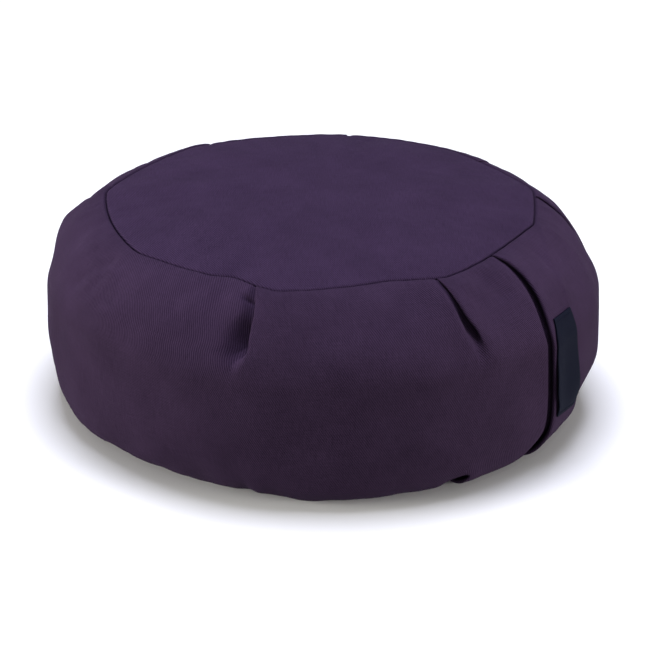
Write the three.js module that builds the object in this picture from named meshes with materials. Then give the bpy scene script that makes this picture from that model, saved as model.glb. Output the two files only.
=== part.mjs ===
// Round meditation cushion, filled and lying on the floor: two round panels, a pleated side band whose
// ends overlap, and a woven label sewn to the overlap. Millimetres, +Z up. The origin is the middle of
// the underside. The front is -Y, and the overlap with its label lies to the right of it, towards +X.

import * as THREE from 'three';

// Driving sizes
const BODY_RADIUS = 190;
const BELLY_HEIGHT = 86;
const SEAM_HEIGHT = 137.6;
const CROWN_HEIGHT = 150;
const FOOT_RADIUS = 150;
const UPPER_FULLNESS = 1.24;
const LOWER_FULLNESS = 0.51;
const CROWN_FULLNESS = 2.8;

// Cloth and the play between pieces
const PANEL_CLOTH = 2;
const FLAP_THICKNESS = 2.6;
const PIECE_GAP = 0.3;
const SEAM_GAP = 0.45;
const LABEL_THICKNESS = 1;

// A fold's upper layer is pinched thinner towards a seam: to this share, over this length
const PINCH = 0.35;
const PINCH_REACH = 9;

// How the cloth rolls into a seam: the lip's reach beside the seam, its drop below the surface, how deep
// the groove goes and how close its wall is to the seam, and how far the cloth is set back below it
const LIP_REACH = 0.9;
const LIP_DROP = 0.7;
const LIP_DEPTH = 1.9;
const GROOVE_GAP = 0.15;
const LIP_SETBACK = 1.2;
const SETBACK_DROP = 0.1;

// How a panel's rim rolls over at its seam, and how far its back edge lies inside the rim
const RIM_DROP = 0.9;
const RIM_INSET = 0.15;
const BACK_EDGE_RISE = 0.1;

// A fold lies flat up to the first length from a seam and is fully folded from the second. The upper
// layer rises between the two lengths of lift.
const FOLD_START = 1;
const FOLD_FULL = 6;
const LIFT_START = -3;
const LIFT_FULL = 12;

// Pleats, in order of angle. Each fold lies the same way, with the cloth of the higher angle on top. The
// paths are pairs of a length down the cloth, from 0 at the top seam to 184 at the foot seam, and the
// value there. edge: direction of the fold edge in degrees. gap: how far the fold stands open. fold: how
// fully the cloth overlaps. dent: how much of the step between the two layers is left. dip: how wide
// the lower layer sinks beside the edge. depth: cloth folded under. lift: how proud the upper layer is.
const PLEATS = [
  {
    edge: [[0, -106.4], [4, -106], [27, -104.6], [46, -104.6], [60, -105.6], [120, -104.5], [184, -103.2]],
    gap: [[0, 0.15], [8, 0.8], [18, 1.6], [25, 2.8], [33, 6.2], [42, 8.5], [49, 6.6], [57, 2.4], [68, 0.5],
      [150, 0.5], [168, 1.6], [184, 0.2]],
    fold: [[0, 1], [39, 1], [58, 0], [160, 0], [176, 1], [184, 1]],
    dent: [[0, 1], [50, 1], [74, 0], [128, 0], [160, 0.7], [184, 0.7]],
    dip: [[0, 2.5], [12, 4], [24, 6], [34, 9.5], [44, 11], [56, 10], [70, 8], [150, 12], [184, 8]],
    depth: 15,
    lift: 1.2,
  },
  {
    edge: [[0, -59.9], [11, -59.6], [28, -58.7], [37, -58.1], [46, -57.4], [60, -56.4], [120, -58],
      [184, -58.6]],
    gap: [[0, 0.15], [6, 0.8], [15, 2.2], [26, 4.4], [35, 4.8], [43, 3.2], [51, 1.2], [62, 0.4],
      [146, 0.4], [154, 5.5], [167, 7], [178, 4], [184, 0.5]],
    fold: [[0, 1], [34, 1], [54, 0], [144, 0], [155, 1], [184, 1]],
    dent: [[0, 1], [45, 1], [68, 0], [140, 0], [153, 1], [184, 1]],
    dip: [[0, 2], [10, 2.8], [30, 3.6], [43, 4.8], [62, 6], [142, 10], [160, 9], [184, 6]],
    depth: 15,
    lift: 1.2,
  },
  {
    edge: [[0, -38.9], [11, -38.3], [24, -37.7], [36, -37.8], [46, -38.2], [60, -38.5], [69, -38.3],
      [89, -37.5], [110, -36.7], [132, -36.2], [147, -36.8], [184, -37.2]],
    gap: [[0, 0.15], [8, 0.8], [20, 2], [38, 3.8], [50, 4.2], [60, 3.2], [70, 2.4], [130, 2.4],
      [144, 4], [156, 6.5], [170, 5.5], [184, 0.4]],
    fold: [[0, 1], [184, 1]],
    dent: [[0, 1], [184, 1]],
    dip: [[0, 2], [14, 2.6], [40, 3], [130, 3.6], [152, 8], [184, 8]],
    depth: 20,
    lift: 2.6,
  },
  plainPleat(11, 5, 9, 0.3, 40),
  plainPleat(42, 44, 42, 1.4, 55),
  plainPleat(84, 85, 83, 1.8, 54),
  plainPleat(124, 126, 125, 1.4, 56),
  plainPleat(168, 166, 168, 1.2, 53),
];

// The overlap of the band's two ends is the one fold that runs from seam to seam
const OVERLAP = PLEATS[2];

// Corners that the pleats pull into the top seam: direction in degrees, radius, how far the seam sags
// there, and how round it runs on to the next corner, from 0 for straight to 1 for an arc.
const CORNERS = [
  { angle: -143, radius: 151.7, sag: 0, bow: 0.4 },
  { angle: -118.7, radius: 146.4, sag: 0, bow: 0.46 },
  { angle: -113.8, radius: 140.2, sag: 0, bow: 1 },
  { angle: -101.5, radius: 152.1, sag: 1.2, bow: 0.99 },
  { angle: -72.8, radius: 137.4, sag: 0, bow: 0 },
  { angle: -57.8, radius: 146.6, sag: 0.3, bow: 0.49 },
  { angle: -37, radius: 138, sag: 0, bow: 0.28 },
  { angle: -10.1, radius: 144.4, sag: 0, bow: 0.25 },
  { angle: 16, radius: 152.7, sag: 0, bow: 0.4 },
  { angle: 52, radius: 153.4, sag: 0, bow: 0.97 },
  { angle: 89, radius: 152, sag: 0, bow: 0.6 },
  { angle: 130, radius: 153, sag: 0, bow: 0.5 },
  { angle: 172, radius: 153.4, sag: 0, bow: 0.57 },
];
const CORNER_ROUNDING = 4.5;
const ROUNDING_SAMPLES = 7;
const SAG_WIDTH = 12;
const FOOT_CORNER_SHARE = 0.6;
const MEAN_SEAM_RADIUS = 147;

// Where the filling pushes the cloth out or the pleats draw it in. angle in degrees and down along the
// cloth from the top seam give the middle; across in degrees and along in mm give the spread.
const SWELLS = [
  { angle: 174, down: 58, across: 16, along: 26, amount: 2.6 },
  { angle: 167, down: 18, across: 6, along: 8, amount: -2.4 },
  { angle: -179, down: 63, across: 7, along: 9, amount: -1.9 },
  { angle: -171, down: 98, across: 8, along: 16, amount: 2.2 },
  { angle: -141, down: 158, across: 5, along: 14, amount: -1.8 },
  { angle: -128, down: 157, across: 5, along: 12, amount: -1.6 },
  { angle: -116, down: 150, across: 18, along: 24, amount: -2 },
  { angle: -108, down: 60, across: 3.4, along: 7, amount: 0.7 },
  { angle: -101, down: 158, across: 5, along: 12, amount: -1.4 },
  { angle: -84, down: 150, across: 17, along: 24, amount: 3 },
  { angle: -54.2, down: 64, across: 2.5, along: 7, amount: 0.8 },
  { angle: -36, down: 150, across: 6, along: 12, amount: -1.4 },
  { angle: -12, down: 104, across: 20, along: 24, amount: 2.2 },
  { angle: -5, down: 72, across: 14, along: 24, amount: 1.8 },
  { angle: -16, down: 113, across: 11, along: 11, amount: 1.3 },
  { angle: -12, down: 135, across: 8, along: 14, amount: -6.4 },
  { angle: 5, down: 46, across: 7, along: 14, amount: -2.2 },
  { angle: 22, down: 16, across: 12, along: 12, amount: -1.6 },
  { angle: 15, down: 34, across: 9, along: 13, amount: -1.5 },
];

// Soft troughs that run down the cloth beside the overlap, each along a path of directions
const CREASES = [
  { path: [[2, -48.5], [34, -45]], width: 9, amount: -1.7 },
  { path: [[6, -23.2], [38, -25.4]], width: 5, amount: -1.3 },
];
const CREASE_TAPER = 9;

// Label on the overlap. left and right: directions of its side edges, by the share of its height.
// leftDown and rightDown: where each side edge starts and ends down the cloth.
const LABEL = {
  left: [[0, -37.2], [0.45, -36.9], [1, -35.1]],
  right: [[0, -28.7], [0.45, -27.3], [0.7, -26.1], [1, -24.6]],
  leftDown: [53, 124],
  rightDown: [53.5, 129.5],
};

// Mesh steps
const SPAN_PITCH = 12;
const FEWEST_SPAN_STEPS = 6;
const ROWS_DOWN = [
  4, 8, 13, 20, 27, 34, 41, 48, 56, 65, 77, 91, 105, 118, 130, 139, 146, 152, 158, 164, 171, 178,
];
const HIDDEN_RINGS = [0.97, 0.78, 0.45];
const PANEL_TOP_RINGS = [0.3, 0.58, 0.8, 0.92, 0.98];
const PANEL_FOOT_RINGS = [0.5, 0.98];
const PANEL_COLUMNS = 120;
const SECTION_STATIONS = 400;
const LABEL_COLUMNS = 5;
const LABEL_ROWS = 12;

const radians = THREE.MathUtils.degToRad;
const smoothstep = THREE.MathUtils.smoothstep;
const lerp = THREE.MathUtils.lerp;

// Bell curve with its middle at zero
function bell(distance, width) {
  return Math.exp(-((distance / width) ** 2));
}

// Signed angle from one direction to another, in degrees, between -180 and 180
function turnBetween(from, to) {
  return THREE.MathUtils.euclideanModulo(to - from + 180, 360) - 180;
}

// A pleat with even paths: folded near both seams, and gone between them
function plainPleat(top, mid, foot, gap, reach) {
  return {
    edge: [[0, top], [reach, mid], [184, foot]],
    gap: [[0, 0.15], [0.6 * reach, gap], [reach + 8, 0.3], [150, 0.3], [172, gap], [184, 0.15]],
    fold: [[0, 1], [0.62 * reach, 1], [reach, 0], [148, 0], [168, 1], [184, 1]],
    dent: [[0, 1], [0.85 * reach, 1], [1.25 * reach, 0], [132, 0], [164, 1], [184, 1]],
    dip: [[0, 2.5], [0.5 * reach, 7], [reach, 9], [150, 10], [184, 5]],
    depth: 15,
    lift: 0.5,
  };
}

// Slope of a path at one of its points: level at its ends and where it turns back
function pathSlope(path, i) {
  if (i === 0 || i === path.length - 1) {
    return 0;
  }
  const before = path[i][0] - path[i - 1][0];
  const after = path[i + 1][0] - path[i][0];
  const rise = (path[i][1] - path[i - 1][1]) / before;
  const nextRise = (path[i + 1][1] - path[i][1]) / after;
  if (rise * nextRise <= 0) {
    return 0;
  }
  const first = 2 * after + before;
  const second = after + 2 * before;
  return (first + second) / (first / rise + second / nextRise);
}

// Smooth value of a path at a place along it, with no overshoot between its points
function follow(path, place) {
  const inside = THREE.MathUtils.clamp(place, path[0][0], path[path.length - 1][0]);
  let i = 1;
  while (i < path.length - 1 && path[i][0] < inside) {
    i += 1;
  }
  const step = path[i][0] - path[i - 1][0];
  const far = (inside - path[i - 1][0]) / step;
  const near = 1 - far;
  const hold = near * near * (1 + 2 * far) * path[i - 1][1] + far * far * (1 + 2 * near) * path[i][1];
  const lean = near * near * far * pathSlope(path, i - 1) - far * far * near * pathSlope(path, i);
  return hold + lean * step;
}

// Radius of the top seam between its corners, before the corners are rounded
function sharpSeamRadius(angle) {
  for (let i = 0; i < CORNERS.length; i += 1) {
    const here = CORNERS[i];
    const next = CORNERS[(i + 1) % CORNERS.length];
    const span = THREE.MathUtils.euclideanModulo(next.angle - here.angle, 360);
    const along = THREE.MathUtils.euclideanModulo(angle - here.angle, 360);
    if (along < span) {
      const arc = lerp(here.radius, next.radius, along / span);
      const swept = here.radius * next.radius * Math.sin(radians(span));
      const reach = here.radius * Math.sin(radians(along)) + next.radius * Math.sin(radians(span - along));
      return lerp(swept / reach, arc, here.bow);
    }
  }
  return MEAN_SEAM_RADIUS;
}

function seamRadius(angle) {
  let sum = 0;
  let weights = 0;
  for (let i = -ROUNDING_SAMPLES; i <= ROUNDING_SAMPLES; i += 1) {
    const offset = i / (ROUNDING_SAMPLES + 1);
    const weight = 1 + Math.cos(Math.PI * offset);
    sum += weight * sharpSeamRadius(angle + CORNER_ROUNDING * offset);
    weights += weight;
  }
  return sum / weights;
}

function seamHeight(angle) {
  let height = SEAM_HEIGHT;
  for (const corner of CORNERS) {
    height -= corner.sag * bell(turnBetween(corner.angle, angle), SAG_WIDTH);
  }
  return height;
}

function footRadius(angle) {
  return FOOT_RADIUS + FOOT_CORNER_SHARE * (seamRadius(angle) - MEAN_SEAM_RADIUS);
}

// The side's section at its mean sizes, walked from the top seam to the foot seam. A station holds the
// length of cloth down to it, its spread from seam (0) to belly (1), its rise from belly (0) to a seam
// (1), and the outward normal there.
function walkSection() {
  const stations = [];
  for (let i = 0; i <= SECTION_STATIONS; i += 1) {
    const turn = (Math.PI * i) / SECTION_STATIONS;
    const upper = turn <= Math.PI / 2;
    const quarter = upper ? turn : turn - Math.PI / 2;
    const fullness = upper ? UPPER_FULLNESS : LOWER_FULLNESS;
    const sine = Math.max(Math.sin(quarter), 0) ** fullness;
    const cosine = Math.max(Math.cos(quarter), 0) ** fullness;
    const spread = upper ? sine : cosine;
    const rise = upper ? cosine : sine;
    const inner = upper ? MEAN_SEAM_RADIUS : FOOT_RADIUS;
    const radius = lerp(inner, BODY_RADIUS, spread);
    const height = upper ? lerp(BELLY_HEIGHT, SEAM_HEIGHT, rise) : BELLY_HEIGHT * (1 - rise);
    stations.push({ upper, spread, rise, radius, height, down: 0, outX: 0, outZ: 0 });
  }
  for (let i = 1; i < stations.length; i += 1) {
    const a = stations[i - 1];
    const b = stations[i];
    b.down = a.down + Math.hypot(b.radius - a.radius, b.height - a.height);
  }
  for (let i = 0; i < stations.length; i += 1) {
    const a = stations[Math.max(i - 2, 0)];
    const b = stations[Math.min(i + 2, stations.length - 1)];
    const length = Math.hypot(b.radius - a.radius, b.height - a.height);
    stations[i].outX = -(b.height - a.height) / length;
    stations[i].outZ = (b.radius - a.radius) / length;
  }
  return stations;
}

const SECTION = walkSection();
const SIDE_LENGTH = SECTION[SECTION.length - 1].down;

// The station a given length of cloth below the top seam, read between two walked ones
function stationAt(down) {
  let i = 1;
  while (i < SECTION.length - 1 && SECTION[i].down < down) {
    i += 1;
  }
  const a = SECTION[i - 1];
  const b = SECTION[i];
  const share = (down - a.down) / (b.down - a.down);
  return {
    upper: b.upper,
    down,
    spread: lerp(a.spread, b.spread, share),
    rise: lerp(a.rise, b.rise, share),
    radius: lerp(a.radius, b.radius, share),
    outX: lerp(a.outX, b.outX, share),
    outZ: lerp(a.outZ, b.outZ, share),
  };
}

// How far the cloth stands out from the plain section at a station, apart from the folds
function coverAt(angle, station) {
  let amount = 0;
  for (const swell of SWELLS) {
    const across = bell(turnBetween(swell.angle, angle), swell.across);
    amount += swell.amount * across * bell(station.down - swell.down, swell.along);
  }
  for (const crease of CREASES) {
    const start = crease.path[0][0];
    const end = crease.path[crease.path.length - 1][0];
    const off = radians(turnBetween(follow(crease.path, station.down), angle)) * station.radius;
    const opens = smoothstep(station.down, start - 1, start + CREASE_TAPER);
    const closes = 1 - smoothstep(station.down, end - CREASE_TAPER, end);
    amount += crease.amount * opens * closes * bell(off, crease.width);
  }
  return amount;
}

// A point of the side: its direction, its station and how proud of the filled shape it stands
function sidePoint(angle, station, proud) {
  const inner = station.upper ? seamRadius(angle) : footRadius(angle);
  const level = station.upper
    ? lerp(BELLY_HEIGHT, seamHeight(angle), station.rise)
    : BELLY_HEIGHT * (1 - station.rise);
  const radius = lerp(inner, BODY_RADIUS, station.spread) + proud * station.outX;
  const height = Math.max(level + proud * station.outZ, 0);
  return new THREE.Vector3(
    radius * Math.cos(radians(angle)),
    radius * Math.sin(radians(angle)),
    height,
  );
}

// A pleat as it is at one station. It is sewn flat at both seams, where the overlap runs out.
function pleatAt(pleat, station) {
  const down = station.down;
  const nearest = Math.min(down, SIDE_LENGTH - down);
  const dent = follow(pleat.dent, down);
  return {
    edge: follow(pleat.edge, down),
    fold: follow(pleat.fold, down) * smoothstep(nearest, FOLD_START, FOLD_FULL),
    depth: pleat.depth,
    dent,
    flap: FLAP_THICKNESS * lerp(PINCH, 1, smoothstep(nearest, 0, PINCH_REACH)),
    gap: follow(pleat.gap, down),
    lift: pleat.lift * dent * smoothstep(nearest, LIFT_START, LIFT_FULL),
    dip: follow(pleat.dip, down),
  };
}

// How proud the upper layer stands at a distance from the fold edge, towards the higher angles
const LIFT_REACH = 14;
function upperRelief(pleat, off) {
  return pleat.lift * bell(Math.max(off, 0), LIFT_REACH);
}

// How far the lower layer sinks at a distance from the fold edge, negative towards the lower angles
function lowerRelief(pleat, off) {
  const step = (pleat.flap + pleat.gap) * pleat.dent;
  return (pleat.lift - step) * bell(Math.min(off, 0), pleat.dip);
}

// The folded columns of a pleat, from the lower layer round the hidden turn to the upper layer.
// flat: place along the cloth when open. share and shift: place when folded, as a share of the depth
// and in mm. layers and open: how many flap thicknesses and gaps it lies below the upper layer.
// upper: how much it belongs to the upper layer when open.
const FOLD_COLUMNS = [
  { flat: -6, share: 0, shift: 0, layers: 1, open: 1, upper: 0 },
  { flat: -4, share: 0.55, shift: 0, layers: 1, open: 0.7, upper: 0 },
  { flat: -2, share: 1, shift: 0, layers: 1, open: 0.35, upper: 0.15 },
  { flat: 0, share: 0.55, shift: 0, layers: 1, open: 0, upper: 0.5 },
  { flat: 2, share: 0, shift: 0.9, layers: 1, open: 0, upper: 0.85 },
  { flat: 4, share: 0, shift: -0.4, layers: 0.5, open: 0, upper: 1 },
  { flat: 6, share: 0, shift: 0.9, layers: 0, open: 0, upper: 1 },
];

function foldColumns(pleat, station) {
  const cover = coverAt(pleat.edge, station);
  return FOLD_COLUMNS.map((column) => {
    const closedPlace = pleat.depth * column.share + column.shift;
    const off = lerp(column.flat, closedPlace, pleat.fold);
    const opened = lerp(lowerRelief(pleat, off), upperRelief(pleat, off), column.upper);
    const closed = pleat.lift - (pleat.flap * column.layers + pleat.gap * column.open) * pleat.dent;
    const angle = pleat.edge + THREE.MathUtils.radToDeg(off / station.radius);
    return { angle, proud: cover + lerp(opened, closed, pleat.fold ** 2) };
  });
}

// Columns of plain cloth between two pleats, taken from the widest distance between their edges
const SPAN_STEPS = PLEATS.map((pleat, index) => {
  const next = PLEATS[(index + 1) % PLEATS.length];
  const span = THREE.MathUtils.euclideanModulo(next.edge[0][1] - pleat.edge[0][1], 360);
  return Math.max(FEWEST_SPAN_STEPS, Math.round((radians(span) * BODY_RADIUS) / SPAN_PITCH));
});

// One closed ring of the side at a station, from pleat to pleat
function sideRing(station) {
  const pleats = PLEATS.map((pleat) => pleatAt(pleat, station));
  const folds = pleats.map((pleat) => foldColumns(pleat, station));
  const ring = [];
  folds.forEach((columns, index) => {
    const following = (index + 1) % folds.length;
    const last = columns[columns.length - 1];
    const next = folds[following][0];
    for (const column of columns) {
      ring.push(sidePoint(column.angle, station, column.proud));
    }
    const span = THREE.MathUtils.euclideanModulo(next.angle - last.angle, 360);
    const steps = SPAN_STEPS[index];
    for (let step = 1; step < steps; step += 1) {
      const angle = last.angle + (span * (1 - Math.cos((Math.PI * step) / steps))) / 2;
      const fromEdge = THREE.MathUtils.euclideanModulo(angle - pleats[index].edge, 360);
      const toNext = THREE.MathUtils.euclideanModulo(pleats[following].edge - angle, 360);
      const upper = upperRelief(pleats[index], radians(fromEdge) * station.radius);
      const lower = lowerRelief(pleats[following], -radians(toNext) * station.radius);
      ring.push(sidePoint(angle, station, upper + lower + coverAt(angle, station)));
    }
  });
  return ring;
}

// Height of the top panel's upper face at a share of the way from its middle to the seam
function crownHeight(angle, share) {
  const seam = seamHeight(angle);
  return seam + (CROWN_HEIGHT - seam) * (1 - share ** CROWN_FULLNESS);
}

function polar(angle, radius, height) {
  return new THREE.Vector3(
    radius * Math.cos(radians(angle)),
    radius * Math.sin(radians(angle)),
    height,
  );
}

// Closed solid from rings of equal count, stacked from top to bottom between two poles
function ringSolid(topPole, rings, bottomPole) {
  const count = rings[0].length;
  const points = [topPole, ...rings.flat(), bottomPole];
  const at = (ring, column) => 1 + ring * count + (column % count);
  const faces = [];
  for (let column = 0; column < count; column += 1) {
    faces.push(0, at(0, column), at(0, column + 1));
    faces.push(points.length - 1, at(rings.length - 1, column + 1), at(rings.length - 1, column));
    for (let ring = 0; ring < rings.length - 1; ring += 1) {
      faces.push(at(ring, column), at(ring + 1, column), at(ring + 1, column + 1));
      faces.push(at(ring, column), at(ring + 1, column + 1), at(ring, column + 1));
    }
  }
  return indexedGeometry(points, faces);
}

function indexedGeometry(points, faces) {
  const geometry = new THREE.BufferGeometry().setFromPoints(points);
  geometry.setIndex(faces);
  geometry.computeVertexNormals();
  return geometry;
}

// The filled side band: its pleated wall, its lips at both seams and the faces under the two panels
function sideBandGeometry() {
  const wall = ROWS_DOWN.map((down) => sideRing(stationAt(down)));
  const directions = (down) =>
    sideRing(stationAt(down)).map((point) => THREE.MathUtils.radToDeg(Math.atan2(point.y, point.x)));
  const angles = directions(0);
  const footAngles = directions(SIDE_LENGTH);
  const underCrown = (angle, share) => crownHeight(angle, share) - PANEL_CLOTH - PIECE_GAP;
  const topLip = [
    ...[...HIDDEN_RINGS].reverse().map((share) =>
      angles.map((angle) => polar(angle, share * seamRadius(angle), underCrown(angle, share)))),
    angles.map((angle) => polar(angle, seamRadius(angle) - LIP_SETBACK, underCrown(angle, 1) - SETBACK_DROP)),
    angles.map((angle) => polar(angle, seamRadius(angle) + GROOVE_GAP, seamHeight(angle) - LIP_DEPTH)),
    angles.map((angle) => polar(angle, seamRadius(angle) + LIP_REACH, seamHeight(angle) - LIP_DROP)),
  ];
  const overPanel = PANEL_CLOTH + PIECE_GAP;
  const footLip = [
    footAngles.map((angle) => polar(angle, footRadius(angle) + LIP_REACH, LIP_DROP)),
    footAngles.map((angle) => polar(angle, footRadius(angle) + GROOVE_GAP, LIP_DEPTH)),
    footAngles.map((angle) => polar(angle, footRadius(angle) - LIP_SETBACK, overPanel + SETBACK_DROP)),
    ...HIDDEN_RINGS.map((share) =>
      footAngles.map((angle) => polar(angle, share * footRadius(angle), overPanel))),
  ];
  const topPole = new THREE.Vector3(0, 0, underCrown(0, 0));
  const footPole = new THREE.Vector3(0, 0, overPanel);
  return ringSolid(topPole, [...topLip, ...wall, ...footLip], footPole);
}

function panelAngles() {
  return Array.from({ length: PANEL_COLUMNS }, (_, i) => (360 * i) / PANEL_COLUMNS - 180);
}

// The crowned round panel on top, a sheet whose rim turns down into the seam
function topPanelGeometry() {
  const angles = panelAngles();
  const rim = (angle) => seamRadius(angle) - SEAM_GAP;
  const face = (share, drop) =>
    angles.map((angle) => polar(angle, share * rim(angle), crownHeight(angle, share) - drop));
  const rings = [
    ...PANEL_TOP_RINGS.map((share) => face(share, 0)),
    face(1, RIM_DROP),
    angles.map((angle) =>
      polar(angle, rim(angle) - RIM_INSET, seamHeight(angle) - PANEL_CLOTH + BACK_EDGE_RISE)),
    ...HIDDEN_RINGS.map((share) => face(share, PANEL_CLOTH)),
  ];
  const topPole = new THREE.Vector3(0, 0, CROWN_HEIGHT);
  const underPole = new THREE.Vector3(0, 0, CROWN_HEIGHT - PANEL_CLOTH);
  return ringSolid(topPole, rings, underPole);
}

// The round panel underneath, flat where it lies on the floor
function bottomPanelGeometry() {
  const angles = panelAngles();
  const rim = (angle) => footRadius(angle) - SEAM_GAP;
  const face = (share, height) => angles.map((angle) => polar(angle, share * rim(angle), height));
  const rings = [
    ...[...HIDDEN_RINGS].reverse().map((share) => face(share, PANEL_CLOTH)),
    angles.map((angle) => polar(angle, rim(angle) - RIM_INSET, PANEL_CLOTH - BACK_EDGE_RISE)),
    face(1, RIM_DROP),
    ...[...PANEL_FOOT_RINGS].reverse().map((share) => face(share, 0)),
  ];
  return ringSolid(new THREE.Vector3(0, 0, PANEL_CLOTH), rings, new THREE.Vector3(0, 0, 0));
}

// The label, a small sheet that follows the upper layer of the overlap
function labelGeometry() {
  const face = (proud) => {
    const points = [];
    for (let row = 0; row <= LABEL_ROWS; row += 1) {
      const along = row / LABEL_ROWS;
      const left = follow(LABEL.left, along);
      const right = follow(LABEL.right, along);
      for (let column = 0; column <= LABEL_COLUMNS; column += 1) {
        const across = column / LABEL_COLUMNS;
        const start = lerp(LABEL.leftDown[0], LABEL.rightDown[0], across);
        const end = lerp(LABEL.leftDown[1], LABEL.rightDown[1], across);
        const station = stationAt(lerp(start, end, along));
        const pleat = pleatAt(OVERLAP, station);
        const angle = lerp(left, right, across);
        const fromEdge = radians(angle - pleat.edge) * station.radius;
        const relief = upperRelief(pleat, fromEdge) + coverAt(angle, station);
        points.push(sidePoint(angle, station, relief + proud));
      }
    }
    return points;
  };
  const stride = LABEL_COLUMNS + 1;
  const front = face(PIECE_GAP + LABEL_THICKNESS);
  const back = face(PIECE_GAP);
  const faces = [];
  const quad = (a, b, c, d) => faces.push(a, b, c, a, c, d);
  for (let row = 0; row < LABEL_ROWS; row += 1) {
    for (let column = 0; column < LABEL_COLUMNS; column += 1) {
      const a = row * stride + column;
      quad(a, a + stride, a + stride + 1, a + 1);
      const b = a + front.length;
      quad(b, b + 1, b + stride + 1, b + stride);
    }
  }
  const rim = [];
  for (let column = 0; column < LABEL_COLUMNS; column += 1) {
    rim.push(column);
  }
  for (let row = 0; row < LABEL_ROWS; row += 1) {
    rim.push(row * stride + LABEL_COLUMNS);
  }
  for (let column = LABEL_COLUMNS; column > 0; column -= 1) {
    rim.push(LABEL_ROWS * stride + column);
  }
  for (let row = LABEL_ROWS; row > 0; row -= 1) {
    rim.push(row * stride);
  }
  rim.forEach((corner, i) => {
    const next = rim[(i + 1) % rim.length];
    quad(corner, next, next + front.length, corner + front.length);
  });
  return indexedGeometry([...front, ...back], faces);
}

function clothMaterial(color) {
  return new THREE.MeshStandardMaterial({ color, roughness: 0.9, metalness: 0 });
}

function piece(name, geometry, color) {
  const mesh = new THREE.Mesh(geometry, clothMaterial(color));
  mesh.name = name;
  return mesh;
}

const cushion = new THREE.Group();
cushion.add(piece('side_band', sideBandGeometry(), 0x2e2036));
cushion.add(piece('top_panel', topPanelGeometry(), 0x35263f));
cushion.add(piece('bottom_panel', bottomPanelGeometry(), 0x2e2036));
cushion.add(piece('label', labelGeometry(), 0x1b1c2b));

// The middle of the box comes over the origin
const box = new THREE.Box3().setFromObject(cushion);
const middle = box.getCenter(new THREE.Vector3());
for (const mesh of cushion.children) {
  mesh.geometry.translate(-middle.x, -middle.y, -box.min.z);
}

export default cushion;
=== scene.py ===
"""Round meditation cushion in violet cotton twill, dressed around its solids."""

import logging
import math
from dataclasses import dataclass
from enum import Enum

import bpy
import numpy as np
from mathutils import Matrix, Vector


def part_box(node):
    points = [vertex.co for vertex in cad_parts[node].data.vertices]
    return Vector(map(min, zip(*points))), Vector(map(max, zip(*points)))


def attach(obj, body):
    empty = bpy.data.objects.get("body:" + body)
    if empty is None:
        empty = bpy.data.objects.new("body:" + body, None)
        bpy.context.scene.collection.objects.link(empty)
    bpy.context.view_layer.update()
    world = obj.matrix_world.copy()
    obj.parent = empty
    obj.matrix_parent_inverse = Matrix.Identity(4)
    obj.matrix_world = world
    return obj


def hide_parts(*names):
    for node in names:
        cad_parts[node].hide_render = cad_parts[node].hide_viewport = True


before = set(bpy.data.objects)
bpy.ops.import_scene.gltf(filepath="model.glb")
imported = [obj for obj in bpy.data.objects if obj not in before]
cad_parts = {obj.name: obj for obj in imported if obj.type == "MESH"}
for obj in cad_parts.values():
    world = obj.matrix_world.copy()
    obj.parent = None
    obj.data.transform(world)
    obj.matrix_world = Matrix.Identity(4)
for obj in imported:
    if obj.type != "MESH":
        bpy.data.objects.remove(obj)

LOG = logging.getLogger("cushion")
MM = 0.001
ROOT = "root"

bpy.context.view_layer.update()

Path = tuple[tuple[float, float], ...]
Triple = tuple[float, float, float]

# Width of the band's strip from seam to seam, in millimetres.
STRIP = 184


class Seam(Enum):
    """The two seams that join the side band to a round panel."""

    TOP = "top"
    FOOT = "foot"


@dataclass(frozen=True)
class Pleat:
    """One knife pleat, its upper layer on the side of the higher angle.

    edge, gap, fold, dent and dip are paths: pairs of a length down the cloth and the value there.
    edge is the fold edge's direction in degrees, gap how far the fold stands open, fold how fully
    the cloth overlaps, dent how much of the step between the two layers is left, and dip how wide
    the lower layer sinks beside the fold edge. Lengths are in millimetres.
    """

    edge: Path
    gap: Path
    fold: Path
    dent: Path
    dip: Path
    depth: float = 15.0
    lift: float = 1.2
    lift_reach: float = 14.0


@dataclass(frozen=True)
class Corner:
    """A corner that the pleats pull into the top seam.

    bow is 0 for a straight run on to the next corner and 1 for an arc. rounding is half the width, in
    degrees, over which the corner is rounded off.
    """

    angle: float
    radius: float
    sag: float
    bow: float
    rounding: float = 4.0


@dataclass(frozen=True)
class Swell:
    """A soft rise or hollow of the side, round a direction in degrees and a length down the cloth."""

    angle: float
    down: float
    across: float
    along: float
    amount: float


@dataclass(frozen=True)
class Crease:
    """A soft trough (negative amount) or ridge along a path of lengths down the cloth and directions."""

    path: Path
    width: float
    amount: float
    taper: float = 9.0


@dataclass(frozen=True)
class Gather:
    """A round of small gathers at the top seam: how many, how strong, and how unevenly they follow."""

    count: int
    share: float
    sway: float
    sway_count: int
    start: float = 0.0

    def at(self, turn: np.ndarray) -> np.ndarray:
        """Height of the gathers at directions in radians."""
        swayed = self.sway * np.sin(self.sway_count * turn + self.start)
        return self.share * np.sin(self.count * turn + swayed)


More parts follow.
